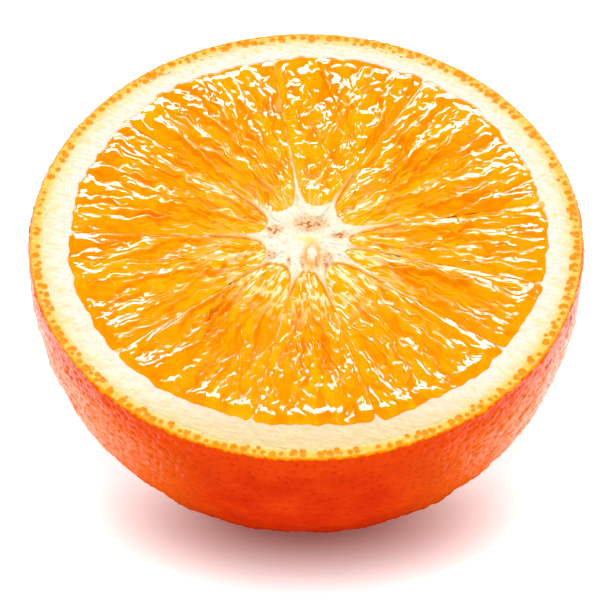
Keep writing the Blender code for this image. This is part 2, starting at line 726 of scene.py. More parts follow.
@dataclass(frozen=True)
class CutFace:
    """The plan of the cut face, which every piece on it shares.

    Attributes:
        height: The cut face above the flat spot.
        edge: Radius of the cut edge of the skin.
        rind: Mean thickness of skin and pith together.
        rind_shift: How much thinner the rind is to the right and to the back.
        core: Mean radius of the core.
        thin: Half the thickness of a membrane away from the core.
        flare: Extra half width of a membrane at the pith ring, and how far inwards it falls to a third.
        tip_curl: How sharply a segment's tip circle lets go of the flesh beyond it.
        corner: How softly the segments' corners are rounded.
        slow_lobes: Slow waves in the flesh's outer rim.
        sac_lobes: Waves in the rim as wide as the sacs.
        membranes: The membranes' directions in degrees, anticlockwise from the right.
        arms: For each membrane, how much wider half its root at the core is.
        tapers: For each membrane, how far out that extra width falls to a third.
    """

    height: float = CAD_HIGH.z / MM - FLESH_RISE
    edge: float = GIRTH - EDGE_ROUND
    rind: float = 5.2
    rind_shift: tuple[float, float] = (0.3, 0.45)
    core: float = 6.3
    thin: float = 0.045
    flare: tuple[float, float] = (0.5, 0.6)
    tip_curl: float = 3.0
    corner: float = 0.25
    slow_lobes: Ripple = Ripple(11, 14.0, height=0.22)
    sac_lobes: Ripple = Ripple(12, 3.2, height=0.13)
    membranes: tuple[float, ...] = (11, 60, 98, 140, 178, 218, 257, 287, 324, 346)
    arms: tuple[float, ...] = (0.9, 0.6, 0.85, 0.7, 0.6, 0.5, 0.8, 0.8, 0.9, 0.35)
    tapers: tuple[float, ...] = (4.0, 3.5, 5.5, 4.0, 4.5, 3.0, 3.0, 3.5, 5.5, 2.0)

    def walls(self) -> list[Wall]:
        """The membranes, as directions in radians with the shape of their arms."""
        directions = [math.radians(a) for a in self.membranes]
        return [Wall(*wall) for wall in zip(directions, self.arms, self.tapers)]

    def segments(self) -> list[tuple[Wall, Wall]]:
        """The two walls of each segment, the last one a whole turn on."""
        walls = self.walls()
        first = walls[0]
        closing = replace(first, angle=first.angle + FULL_TURN)
        return list(zip(walls, [*walls[1:], closing]))

    def reach(self, angle: Array) -> Array:
        """Radius of the flesh: the cut edge less the rind, with slow and sac-sized lobes.

        Args:
            angle: The directions.

        Returns:
            The radius in each.
        """
        near_rim = 30.0
        x, y = near_rim * np.cos(angle), near_rim * np.sin(angle)
        rind = self.rind - self.rind_shift[0] * np.cos(angle) - self.rind_shift[1] * np.sin(angle)
        return self.edge - rind + (self.slow_lobes.at(x, y) + self.sac_lobes.at(x, y))

    def half_wall(self, wall: Wall, radius: Array, rim: Array) -> Array:
        """Half width of the white tissue along a membrane.

        It is thin, plus arm times exp(-(radius - core) / taper) at the core, plus a
        small flare where the membrane meets the pith ring.

        Args:
            wall: The membrane.
            radius: The points' radii.
            rim: The flesh's outer radius at the points.

        Returns:
            The half width at the points.
        """
        deepest = -3.0  # inside the core the root grows no further than this
        root = wall.arm * np.exp(-np.maximum(radius - self.core, deepest) / wall.taper)
        flare = self.flare[0] * np.exp(-np.maximum(rim - radius, 0.0) / self.flare[1])
        return self.thin + root + flare

    def inside(self, radius: Array, angle: Array, segment: tuple[Wall, Wall]) -> Array:
        """How far a point lies inside one segment's flesh.

        It is the least of the distances to both walls, to the rim, and to a circle
        that touches both walls and rounds the segment's tip.

        Args:
            radius: The points' radii.
            angle: Their directions.
            segment: The segment's two walls.

        Returns:
            The distance, below 0 outside.
        """
        first, last = segment
        rim = self.reach(angle)
        to_walls = []
        for wall, away in ((first, angle - first.angle), (last, last.angle - angle)):
            sideways = radius * np.sin(np.clip(away, -1.5, 1.5))
            to_walls.append(sideways - self.half_wall(wall, radius, rim))

        half = (last.angle - first.angle) / 2.0
        tip_radius = (self.core * math.sin(half) - self.thin) / (1.0 - math.sin(half))
        tip_centre = (tip_radius + self.thin) / math.sin(half)
        out = radius * np.cos(angle - first.angle - half)
        aside = radius * np.sin(angle - first.angle - half)
        past = np.maximum(out - tip_centre + tip_radius * math.sin(half), 0.0)
        to_tip = tip_radius - np.hypot(out - tip_centre, aside) + self.tip_curl * past**2
        lost_to_rounding = 0.05
        return smooth_min([*to_walls, rim - radius, to_tip], self.corner) + lost_to_rounding

    def inside_any(self, radius: Array, angle: Array) -> Array:
        """How far a point lies inside the flesh of whichever segment it is in.

        Args:
            radius: The points' radii.
            angle: Their directions, on any turn.

        Returns:
            The distance, below 0 outside.
        """
        start = self.walls()[0].angle
        turned = np.mod(angle - start, FULL_TURN) + start
        far_outside = -9.0
        best = np.full(np.broadcast(radius, angle).shape, far_outside)
        for segment in self.segments():
            here = (turned >= segment[0].angle) & (turned <= segment[1].angle)
            best = np.where(here, self.inside(radius, turned, segment), best)
        return best


@dataclass(frozen=True)
class JuiceSacs:
    """A crowd of teardrop sacs in one segment, fat at the outer end and pointing at the core.

    Attributes:
        seed: Picks the sacs, with the segment's number added.
        density: Sacs per square millimetre.
        width: Least and greatest half width of a bulb.
        length: Least and greatest length.
        dome: How far a sac's surface falls from its ridge to its wall.
        level: How unevenly the sacs' tops stand.
        tilt: How unevenly they lean, sideways and lengthways, as slopes.
        skew: How unevenly they stray from pointing at the core, as a slope.
        blend: How softly neighbours meet.
        tail_limit: Where a sac's tail stops growing steeper, in lengths from its bulb.
    """

    seed: int
    density: float
    width: tuple[float, float]
    length: tuple[float, float]
    dome: tuple[float, float]
    level: float
    tilt: tuple[float, float]
    skew: float = 0.12
    blend: float = 0.04
    tail_limit: float = 1.3

    def crowd(self, number: int, face: CutFace, segment: tuple[Wall, Wall]) -> dict[str, Array]:
        """Scatters the sacs: a row of bulbs along the rim, and the rest evenly by area.

        Args:
            number: The segment's number.
            face: The plan of the cut face.
            segment: The segment's two walls.

        Returns:
            One array per property, each of shape (sacs, 1).
        """
        rng = np.random.default_rng(self.seed + number)
        start, end = segment[0].angle, segment[1].angle
        outer = float(face.reach(np.array([(start + end) / 2.0]))[0])
        inner = face.core + 1.0
        count = int(self.density * (end - start) / 2.0 * (outer**2 - inner**2))
        row = int((end - start) * outer / (2.0 * self.width[1]))
        radius = np.sqrt(rng.uniform(inner**2, outer**2, count))
        angle = rng.uniform(start, end, count)
        row_angle = start + (np.arange(row) + rng.uniform(0.2, 0.8, row)) / row * (end - start)
        radius = np.concatenate([radius, outer - self.width[1] * rng.uniform(0.4, 0.9, row)])
        angle = np.concatenate([angle, row_angle])
        total = count + row
        size = 0.4 + 0.6 * radius / outer
        column = {
            "radius": radius,
            "angle": angle,
            "width": rng.uniform(*self.width, total) * size,
            "length": rng.uniform(*self.length, total) * size,
            "dome": rng.uniform(*self.dome, total) * size,
            "level": rng.normal(0.0, self.level, total) * size,
            "lean": rng.normal(0.0, self.tilt[0], total),
            "pitch": rng.normal(0.0, self.tilt[1], total),
            "skew": rng.normal(0.0, self.skew, total),
            "tone": rng.uniform(0.0, 1.0, total),
        }
        return {key: value[:, None].astype(np.float32) for key, value in column.items()}

    def relief(
        self, number: int, face: CutFace, segment: tuple[Wall, Wall], radius: Array, angle: Array
    ) -> tuple[Array, Array, Array]:
        """The sacs' upper surface: at each point the highest sac wins, softly.

        A sac's height is its level and tilt, less its dome times u squared, less a
        sink that grows towards its tail. u is the distance from its axis over its half
        width, which is a circle round the bulb and tapers to nothing at the tail.

        Args:
            number: The segment's number.
            face: The plan of the cut face.
            segment: The segment's two walls.
            radius: The points' radii.
            angle: The points' directions.

        Returns:
            The height, the winner's tone, and how much higher the winner is than the next.
        """
        r = radius.ravel()[None, :].astype(np.float32)
        a = angle.ravel()[None, :].astype(np.float32)
        sac = self.crowd(number, face, segment)
        along = sac["radius"] - r
        across = (a - sac["angle"]) * r - sac["skew"] * along
        tail = np.clip(along / sac["length"], 0.0, self.tail_limit)
        half = sac["width"] * np.sqrt(np.maximum(1.0 - tail, 0.02))
        u = np.where(along < 0.0, np.hypot(across, along) / sac["width"], np.abs(across) / half)
        near_across = np.clip(across, -1.5 * sac["width"], 1.5 * sac["width"])
        near_along = np.clip(along, -sac["width"], sac["length"])
        height = sac["level"] + sac["lean"] * near_across + sac["pitch"] * near_along
        height = height - sac["dome"] * np.minimum(u, 3.0) ** 2 * (1.0 + tail)
        height = height - 0.5 * np.maximum(along / sac["length"] - 1.0, 0.0)
        best = np.argmax(height, axis=0)
        second, first = np.partition(height, -2, axis=0)[-2:]
        gap = first - second
        top = first + self.blend * np.log1p(np.exp(-gap / self.blend))
        tone = sac["tone"][best, 0]
        return top.reshape(radius.shape), tone.reshape(radius.shape), gap.reshape(radius.shape)


@dataclass(frozen=True)
class Flesh:
    """The flesh of every segment, one piece each.

    Attributes:
        face: The plan of the cut face.
        finish: What the flesh is made of.
        spacing: Distance between grid points.
        past_rim: How far the grid goes past the mean rim.
        past_core: How far it goes inside the core's radius.
        mean_level: How far the flesh stands above the cut face.
        ceiling: The height that the sacs level off at, before the lip.
        hidden: How far the flesh goes on under the white tissue.
        dive: How deep it is there.
        edge_round: Radius of its edge.
        big: The big sacs, which make most of the relief.
        small: The small sacs on top of them.
        bend: Waves that shift the sacs outwards and inwards.
        swing: Waves that shift them sideways.
        patches: Where the small sacs and the sac walls are strong.
        wrinkles: Fine waves on the sacs.
        wall_height: Height of the low ridge where big sacs meet.
        lip_height: Height of the blunt sac ends along the rim.
        lip_inset: How far inside the rim they are highest.
        lobe_pitch: Their spacing.
        lobe_sway: How unevenly they are spaced.
        strands: The pale strands by the core, partly painted highlight.
        strand_patches: Where they are dense.
    """

    face: CutFace
    finish: PulpFinish
    spacing: float = 0.14
    past_rim: float = 1.2
    past_core: float = 1.5
    mean_level: float = 0.10
    ceiling: float = 0.6
    hidden: float = 0.35
    dive: float = 0.9
    edge_round: float = 0.16
    big: JuiceSacs = JuiceSacs(
        seed=40,
        density=0.22,
        width=(0.8, 1.8),
        length=(5.0, 11.0),
        dome=(0.22, 0.5),
        level=0.16,
        tilt=(0.10, 0.07),
    )
    small: JuiceSacs = JuiceSacs(
        seed=60,
        density=0.8,
        width=(0.3, 0.75),
        length=(1.2, 3.6),
        dome=(0.05, 0.14),
        level=0.05,
        tilt=(0.14, 0.10),
    )
    bend: Ripple = Ripple(500, 5.0, height=0.30)
    swing: Ripple = Ripple(501, 4.0, height=0.20)
    patches: Ripple = Ripple(70, 5.0)
    wrinkles: Ripple = Ripple(80, 1.2, height=0.020)
    wall_height: float = 0.06
    lip_height: float = 0.5
    lip_inset: float = 1.4
    lobe_pitch: float = 4.6
    lobe_sway: Ripple = Ripple(95, 7.0, height=0.9)
    strands: Ripple = Ripple(90, 0.75, spread=0.6)
    strand_patches: Ripple = Ripple(91, 2.4, height=0.7)

    def piece(self, number: int, segment: tuple[Wall, Wall], material: Material) -> Object:
        """Builds one segment: big sacs, small sacs and wrinkles on them, and a rounded edge.

        The height is a big crowd's relief, plus a small crowd's, stronger in some
        places than in others, plus a low ridge where big sacs meet, plus fine waves.
        It levels off at a ceiling, then the lip is added along the rim. The edge is a
        quarter round that dives under the white tissue. Relief fades towards the
        segment's tip and its edge.

        Args:
            number: Counts the segments from 1.
            segment: Its two walls.
            material: Its finish.

        Returns:
            The segment's object.
        """
        face = self.face
        start, end = segment[0].angle, segment[1].angle
        outer = face.edge - face.rind + self.past_rim
        inner = face.core - self.past_core
        rows = int((outer - inner) / self.spacing)
        columns = int((end - start) * outer / self.spacing)
        radius, angle = np.meshgrid(
            np.linspace(inner, outer, rows), np.linspace(start, end, columns), indexing="ij"
        )
        inside = face.inside(radius, angle, segment)
        x, y = radius * np.cos(angle), radius * np.sin(angle)
        across = (angle - (start + end) / 2.0) * radius
        along = radius / 5.0  # squeezed, so that patterns on it come out long

        sacs_at = (radius + self.bend.at(x, y), angle + self.swing.at(x, y) / radius)
        height, tone, gap = self.big.relief(number, face, segment, *sacs_at)
        crumple, small_tone, _ = self.small.relief(number, face, segment, *sacs_at)
        gate = smooth_step(-0.8, 1.0, self.patches.at(x, y))
        smooth_tip = smooth_step(face.core - 1.0, face.core + 9.0, radius)
        wall = np.exp(-((gap / 0.04) ** 2))
        crumple = crumple * (0.35 + 0.65 * gate) * (0.3 + 0.7 * smooth_tip)
        height = height * (0.4 + 0.6 * smooth_tip) + crumple
        height = height + self.wall_height * wall * gate + self.mean_level
        height = height + self.wrinkles.at(across, along)
        # Painted shade: sunk marks the low creases between sacs, which are painted a deeper orange.
        sunk = smooth_step(0.05, -0.45, height)
        height = -smooth_min([-height, np.full_like(height, self.ceiling)], 0.1)
        height = height + self.lip(x, y, across, face.reach(angle) - radius)
        height = height * (0.15 + 0.85 * smooth_step(0.0, 1.5, inside)) + shoulder(inside, self.edge_round)
        height = height - self.dive * smooth_step(0.0, -self.hidden, inside)
        notes = {
            "tone": 0.65 * tone + 0.35 * small_tone,
            "wall": wall * gate,
            "sunk": sunk,
            "inward": np.clip(1.0 - (radius - face.core) / (outer - face.core), 0.0, 1.0),
            "veil_and_painted_highlight": self.veil_and_painted_highlight(x, y, across, radius),
            "across": across,
            "along": along,
        }
        points = np.stack([x, y, face.height + height], axis=-1)
        sheet = Sheet(points, keep=inside > -self.hidden, notes=notes)
        return sheet.build(f"segment_{number:02d}", material)

    def lip(self, x: Array, y: Array, across: Array, from_rim: Array) -> Array:
        """Height of the blunt sac ends along the rim: a ridge scalloped into rounded lobes.

        The ridge is a bell curve of the distance from the rim, times the root of the
        absolute sine of the place across, which wanders a little. It is lower at the back.

        Args:
            x: The points' x.
            y: Their y.
            across: Their distance from the segment's middle line.
            from_rim: Their distance inwards from the flesh's outer rim.

        Returns:
            The height at the points.
        """
        lobes = np.abs(np.sin(math.pi * across / self.lobe_pitch + self.lobe_sway.at(x, y)))
        ridge = np.exp(-((from_rim - self.lip_inset) ** 2))
        front = 0.25 + 0.75 * smooth_step(14.0, -12.0, y)
        return self.lip_height * front * ridge * (0.2 + 0.8 * np.sqrt(lobes))

    def veil_and_painted_highlight(self, x: Array, y: Array, across: Array, radius: Array) -> Array:
        """Strength of the pale strands that reach from the core onto the flesh, most in front.

        They are partly real strands and partly painted highlight, which is why they are strongest in front.

        Args:
            x: The points' x.
            y: Their y.
            across: Their distance from the segment's middle line.
            radius: Their radii.

        Returns:
            The strength, from 0 to 1.
        """
        strands = self.strands.at(across, radius * 0.2) + self.strand_patches.at(x, y)
        # Painted highlight: the strands are stronger in front.
        front = 0.35 + 0.65 * smooth_step(1.0, -5.0, y)
        near_core = smooth_step(self.face.core + 13.0, self.face.core + 1.0, radius)
        return smooth_step(-0.2, 0.9, strands) * front * near_core

    def build(self) -> list[Object]:
        """Builds every segment."""
        material = self.finish.material()
        return [self.piece(n, pair, material) for n, pair in enumerate(self.face.segments(), start=1)]


@dataclass(frozen=True)
class Membranes:
    """The walls between segments, standing up as thin ridges from the core to the pith.

    Attributes:
        face: The plan of the cut face.
        finish: What they are made of.
        start: Radius where a wall comes out of its arm of the core.
        past_rim: How far it goes on into the pith.
        overlap: How far its sides reach into the flesh.
        sunk: How far below the cut face its crest lies in the mean.
        crown: How much lower its sides are than its crest.
        depth: How far the sides then go straight down.
        sway: How its line wavers.
        crest: How its crest rises and falls.
        rows: Grid points along it.
        columns: Grid points across it.
    """

    face: CutFace
    finish: MembraneFinish
    start: float = 11.0
    past_rim: float = 0.5
    overlap: float = 0.04
    sunk: float = 0.12
    crown: float = 0.2
    depth: float = 1.3
    sway: Ripple = Ripple(120, 6.0, height=0.06)
    crest: Ripple = Ripple(130, 2.6, height=0.14)
    rows: int = 260
    columns: int = 13

    def piece(self, number: int, wall: Wall, material: Material) -> Object:
        """Builds one wall: a wavering line with a round top whose sides go down into the fruit.

        Across, the offset is the half width times sin of a turn from -90 to 90 degrees
        and the height falls with its cosine, and the outermost columns go straight down.

        Args:
            number: Counts the membranes from 1.
            wall: Its direction and root.
            material: Its finish.

        Returns:
            The wall's object.
        """
        face, angle = self.face, wall.angle
        end = float(face.reach(np.array([angle]))[0]) + self.past_rim
        radius = np.linspace(self.start, end, self.rows)[:, None]
        turn = np.linspace(-1.0, 1.0, self.columns)[None, :] * (math.pi / 2.0)
        rim = face.reach(np.full_like(radius, angle))
        half = face.half_wall(wall, radius, rim) + self.overlap
        level = np.zeros_like(radius)
        crest = self.crest.numbered(number).at(radius, level)
        offset = self.sway.numbered(number).at(radius, level) + half * np.sin(turn)
        drop = self.crown * (1.0 - np.cos(turn))
        skirt = np.zeros_like(turn)
        skirt[:, [0, -1]] = self.depth
        height = face.height - self.sunk + crest - drop - skirt
        x = radius * math.cos(angle) - offset * math.sin(angle)
        y = radius * math.sin(angle) + offset * math.cos(angle)
        outward = (radius - self.start) / (radius[-1] - self.start) + 0.0 * turn
        points = np.stack([x, y, height], axis=-1)
        return Sheet(points, notes={"outward": outward}).build(f"membrane_{number:02d}", material)

    def build(self) -> list[Object]:
        """Builds every wall."""
        material = self.finish.material()
        return [self.piece(n, wall, material) for n, wall in enumerate(self.face.walls(), start=1)]


@dataclass(frozen=True)
class Spot:
    """A soft oval: exp(-d squared), with d the distance from (x, y) over the oval's half sizes."""

    x: float
    y: float
    wide: float
    long: float

    def at(self, x: Array, y: Array) -> Array:
        """The oval's strength at points, 1 in its middle."""
        return np.exp(-(((x - self.x) / self.wide) ** 2) - ((y - self.y) / self.long) ** 2)


@dataclass(frozen=True)
class Core:
    """The star of white pith in the middle, with an arm along each membrane.

    Attributes:
        face: The plan of the cut face.
        finish: What the core is made of.
        arm_end: How far out the arms reach at most.
        rise: Height of the body of the star, and how much higher its arms are.
        dip: Depth of the dip in the middle, and its half width.
        nub_height: Height of the rounded nub.
        lump_height: Height of the softer lump beside it.
        torn: How deep the torn hollows are.
        slit_depth: How deep the slit round the nub is.
        edge_round: Radius of the star's edge.
        nub: Where the nub is.
        lump: Where the lump is.
        heart: Where the yellowish heart is.
        hollows: Where the core has torn.
        grain: How ragged the hollows are.
        sponge: Coarse sponginess.
        pits: Fine sponginess.
        fibres: Relief of the fibres that run outwards.
        columns: Grid points round the star.
        rows: Grid points from its middle to its outline.
        skirt: Rows that go down its side.
    """

    face: CutFace
    finish: CoreFinish
    arm_end: float = 14.0
    rise: tuple[float, float] = (0.15, 0.3)
    dip: tuple[float, float] = (0.55, 3.2)
    nub_height: float = 0.7
    lump_height: float = 0.35
    torn: float = 0.08
    slit_depth: float = 0.2
    edge_round: float = 0.3
    nub: Spot = Spot(0.9, -3.1, 1.15, 2.5)
    lump: Spot = Spot(-2.6, -4.2, 1.6, 2.2)
    heart: Spot = Spot(0.2, 0.1, 1.3, 0.6)
    hollows: tuple[Spot, ...] = (
        Spot(0.6, 2.9, 2.3, 1.3),
        Spot(3.0, -4.2, 0.9, 1.7),
        Spot(-5.0, -3.2, 0.7, 0.9),
        Spot(-0.5, -4.4, 0.35, 1.5),
        Spot(-2.5, -4.6, 0.3, 0.8),
        Spot(-4.6, 1.6, 1.1, 0.8),
        Spot(5.0, 0.5, 1.1, 0.5),
    )
    grain: Ripple = Ripple(150, 0.9, spread=0.7)
    sponge: Ripple = Ripple(151, 1.6, height=0.10)
    pits: Ripple = Ripple(152, 0.6, height=0.05)
    fibres: Ripple = Ripple(153, 0.9, height=0.07)
    columns: int = 900
    rows: int = 64
    skirt: int = 3

    def outline(self, angle: Array) -> Array:
        """Radius of the star: where the flesh begins in each direction, at most arm_end.

        Args:
            angle: The directions.

        Returns:
            The radius in each.
        """
        always_white = 4.0
        radii = np.linspace(always_white, self.arm_end, 400)[:, None]
        flesh = self.face.inside_any(radii, angle[None, :]) > 0.0
        return np.where(flesh.any(axis=0), radii[np.argmax(flesh, axis=0), 0], self.arm_end)

    def build(self) -> Object:
        """Builds the star: rows run from the middle to the outline and then down its side.

        The height is a shallow dip, plus spongy waves and fibres, plus a rounded nub and
        a lump in front of the middle, less ragged torn hollows, a slit round the nub and a
        quarter round at the outer edge.

        Returns:
            The core's object.
        """
        face = self.face
        turn = np.linspace(0.0, FULL_TURN, self.columns, endpoint=False)
        star = self.outline(turn)
        share = np.linspace(1.0, 0.0, self.rows)[::-1] ** 0.8
        radius = np.maximum(share[:, None] * star[None, :], 0.02)
        angle = np.broadcast_to(turn[None, :], radius.shape)
        x, y = radius * np.cos(angle), radius * np.sin(angle)

        grain = 0.25 + 0.75 * smooth_step(0.1, 0.8, self.grain.at(x, y))
        hollow = np.clip(sum(spot.at(x, y) for spot in self.hollows), 0.0, 1.0)
        ragged = grain * hollow
        nub = self.nub.at(x, y)
        slit = np.clip(4.0 * nub * (1.0 - nub), 0.0, 1.0) ** 3
        height = -self.dip[0] * np.exp(-((radius / self.dip[1]) ** 2))
        height = height + self.sponge.at(x, y) + self.pits.at(x, y)
        fibres = self.fibres.at(angle * 6.0, radius * 0.25)
        height = height + fibres * smooth_step(2.0, 5.0, radius)
        height = height + self.rise[0] + self.rise[1] * smooth_step(5.0, 9.0, radius)
        height = height + self.nub_height * smooth_step(0.3, 0.7, nub)
        height = height + self.lump_height * self.lump.at(x, y)
        height = height - self.torn * ragged - self.slit_depth * slit
        to_edge = np.maximum(-face.inside_any(radius, angle), 0.0)
        height = height + shoulder(to_edge, self.edge_round)

        # The skirt goes down into the crease between core and flesh.
        skirt = self.skirt
        down = np.linspace(0.35, 1.3, skirt)[:, None] + 0.0 * turn[None, :]
        x = np.concatenate([x, np.repeat(x[-1:], skirt, axis=0)])
        y = np.concatenate([y, np.repeat(y[-1:], skirt, axis=0)])
        height = np.concatenate([height, height[-1:] - down])
        blank = np.zeros((skirt, self.columns))
        stain = np.concatenate([smooth_step(0.2, 0.8, ragged), blank])
        haze = np.concatenate([0.8 * smooth_step(0.0, 0.5, hollow), blank])
        # Amber on the rim, in the slit and down the skirt: partly soaked juice, partly a painted glow that
        # warms the shade in the crease.
        rim = 0.9 * (1.0 - smooth_step(0.0, 0.4, to_edge))
        amber = np.concatenate([np.maximum(rim, 0.8 * slit), blank + 1.0])

        points = np.stack([x, y, face.height + height], axis=-1)
        arm = smooth_step(5.0, 10.0, np.hypot(x, y))
        heart = 0.9 * self.heart.at(x, y)
        notes = {"stain": stain, "haze": haze, "heart": heart, "arm": arm, "amber": amber}
        middle_height = face.height + float(height[0].mean())
        # The pole closes the last row, so the rows are turned to run inwards, and the
        # columns to run clockwise, which keeps the faces up.
        points = points[::-1, ::-1]
        notes = {key: value[::-1, ::-1] for key, value in notes.items()}
        sheet = Sheet(points, wrap=True, pole=(0.0, 0.0, middle_height), notes=notes)
        return sheet.build("core", self.finish.material())


@dataclass(frozen=True)
class GlandRow:
    """A row of oil glands round the zest.

    Attributes:
        seed: Picks the glands.
        inset: How far the row's middle is from the cut edge.
        pitch: The glands' spacing.
        chance: The share of places that hold a gland.
    """

    seed: int
    inset: float
    pitch: float
    chance: float


@dataclass(frozen=True)
class Rind:
    """The cut face of the peel: the white pith ring and the zest with its cut glands.

    Attributes:
        face: The plan of the cut face.
        pith: What the pith is made of.
        zest: What the zest is made of.
        zest_width: Width of the zest ring.
        pith_reach: How far inwards the points of pith along the membranes go at most.
        pith_round: Radius of the pith's inner edge.
        pith_waves: The pith's slow relief.
        pith_pits: Its spongy relief.
        streaks: Where it has yellow streaks.
        pith_grid: Grid points round the pith and across it.
        skirt: Rows that go down the pith's inner side.
        gland_radius: Radius of a gland of middling size.
        gland_depth: Depth of a gland's cup.
        rows_of_glands: The rows.
        zest_pits: The zest's relief between the glands.
        gland_edge: How ragged the glands' edges are.
        zest_grid: Grid points round the zest and across it.
    """

    face: CutFace
    pith: PithFinish
    zest: ZestFinish
    zest_width: float = 1.75
    pith_reach: float = 1.6
    pith_round: float = 0.12
    pith_waves: Ripple = Ripple(160, 2.4, height=0.05)
    pith_pits: Ripple = Ripple(161, 0.7, height=0.025)
    streaks: Ripple = Ripple(162, 1.0, spread=0.5)
    pith_grid: tuple[int, int] = (1300, 44)
    skirt: int = 3
    gland_radius: float = 0.66
    gland_depth: float = 0.09
    rows_of_glands: tuple[GlandRow, ...] = (GlandRow(180, 0.66, 1.36, 0.93), GlandRow(181, 1.2, 1.5, 0.5))
    zest_pits: Ripple = Ripple(170, 0.9, height=0.03)
    gland_edge: Ripple = Ripple(171, 0.9, height=0.3)
    zest_grid: tuple[int, int] = (2100, 34)

    def pith_ring(self) -> Object:
        """Builds the pith: rows climb out of the crease round the flesh and run to the zest.

        The height is a low spongy relief with a rounded inner edge. The inner outline
        follows the flesh, and a small point of pith runs in along each membrane.

        Returns:
            The ring's object.
        """
        face = self.face
        columns, rows = self.pith_grid
        turn = np.linspace(0.0, FULL_TURN, columns, endpoint=False)
        rim = face.reach(turn)
        radii = rim[None, :] - np.linspace(self.pith_reach, 0.0, 120)[:, None]
        flesh = face.inside_any(radii, np.broadcast_to(turn, radii.shape)) > 0.0
        last = radii.shape[0] - 1 - np.argmax(flesh[::-1], axis=0)
        deepest = np.take_along_axis(radii, last[None, :], 0)[0]
        inner = np.where(flesh.any(axis=0), deepest, rim - self.pith_reach)
        outer = face.edge - self.zest_width + 0.1
        share = np.linspace(0.0, 1.0, rows)[:, None]
        radius = inner[None, :] + (outer - inner[None, :]) * share
        angle = np.broadcast_to(turn[None, :], radius.shape)
        x, y = radius * np.cos(angle), radius * np.sin(angle)
        height = self.pith_waves.at(x, y) + self.pith_pits.at(x, y)
        height = height + shoulder(radius - inner[None, :], self.pith_round)
        outward = (radius - inner[None, :]) / (outer - inner[None, :])

        # The skirt comes up out of the crease between flesh and pith.
        skirt = self.skirt
        down = np.linspace(1.2, 0.3, skirt)[:, None] + 0.0 * turn[None, :]
        x = np.concatenate([np.repeat(x[:1], skirt, axis=0), x])
        y = np.concatenate([np.repeat(y[:1], skirt, axis=0), y])
        height = np.concatenate([height[:1] - down, height])
        outward = np.concatenate([np.zeros((skirt, columns)), outward])
        points = np.stack([x, y, face.height + height], axis=-1)
        streak = self.streaks.at(np.arctan2(y, x) * face.edge, np.hypot(x, y) * 0.3)
        notes = {
            "outward": outward,
            "streak": 0.7 * smooth_step(0.4, 1.8, streak) * smooth_step(0.1, 0.5, outward),
            # Painted shade on the pith's front.
            "painted_front_shade": 0.7 * smooth_step(-24.0, -37.0, y),
        }
        return Sheet(points, wrap=True, notes=notes).build("pith_ring", self.pith.material())

    def zest_ring(self) -> Object:
        """Builds the zest: a flat band with a cup for each cut gland.

        The glands sit in two jittered rows, the inner one sparse. A cup's depth is
        gland_depth times 1 less the square of the distance from its middle over its radius.

        Returns:
            The band's object.
        """
        face = self.face
        columns, rows = self.zest_grid
        turn = np.linspace(0.0, FULL_TURN, columns, endpoint=False)
        radii = np.linspace(face.edge - self.zest_width, face.edge - 0.03, rows)
        radius, angle = np.meshgrid(radii, turn, indexing="ij")
        cups = np.zeros_like(radius)
        for row in self.rows_of_glands:
            cups = np.maximum(cups, self.glands(row, radius, angle))
        x, y = radius * np.cos(angle), radius * np.sin(angle)
        height = self.zest_pits.at(x, y) - self.gland_depth * cups
        outward = (radius - radii[0]) / (radii[-1] - radii[0])
        points = np.stack([x, y, face.height + height], axis=-1)
        ragged = cups * (1.0 + self.gland_edge.at(x, y))
        notes = {"outward": outward, "gland": smooth_step(0.0, 0.45, ragged)}
        return Sheet(points, wrap=True, notes=notes).build("zest_ring", self.zest.material())

    def glands(self, row: GlandRow, radius: Array, angle: Array) -> Array:
        """Depth of the glands of one row: each point looks at its own gland and both neighbours.

        Args:
            row: The row.
            radius: The points' radii.
            angle: The points' directions.

        Returns:
            0 between glands, up to 1 in the middle of one.
        """
        rng = np.random.default_rng(row.seed)
        count = int(FULL_TURN * (self.face.edge - row.inset) / row.pitch)
        step = FULL_TURN / count
        aside = rng.uniform(-0.22, 0.22, count)  # in pitches
        middles = (np.arange(count) + 0.5 + aside) * step
        outs = self.face.edge - row.inset + rng.uniform(-0.22, 0.12, count)
        sizes = self.gland_radius * rng.uniform(0.5, 1.12, count) * (rng.uniform(size=count) < row.chance)
        here = np.floor(angle / step).astype(int)
        deepest = np.zeros_like(radius)
        for neighbour in (-1, 0, 1):
            which = np.mod(here + neighbour, count)
            sideways = np.mod(angle - middles[which] + math.pi, FULL_TURN) - math.pi
            away = np.hypot(sideways * radius, radius - outs[which]) / np.maximum(sizes[which], 0.01)
            deepest = np.maximum(deepest, np.maximum(1.0 - away**2, 0.0))
        return deepest

    def build(self) -> list[Object]:
        """Builds both rings."""
        return [self.pith_ring(), self.zest_ring()]


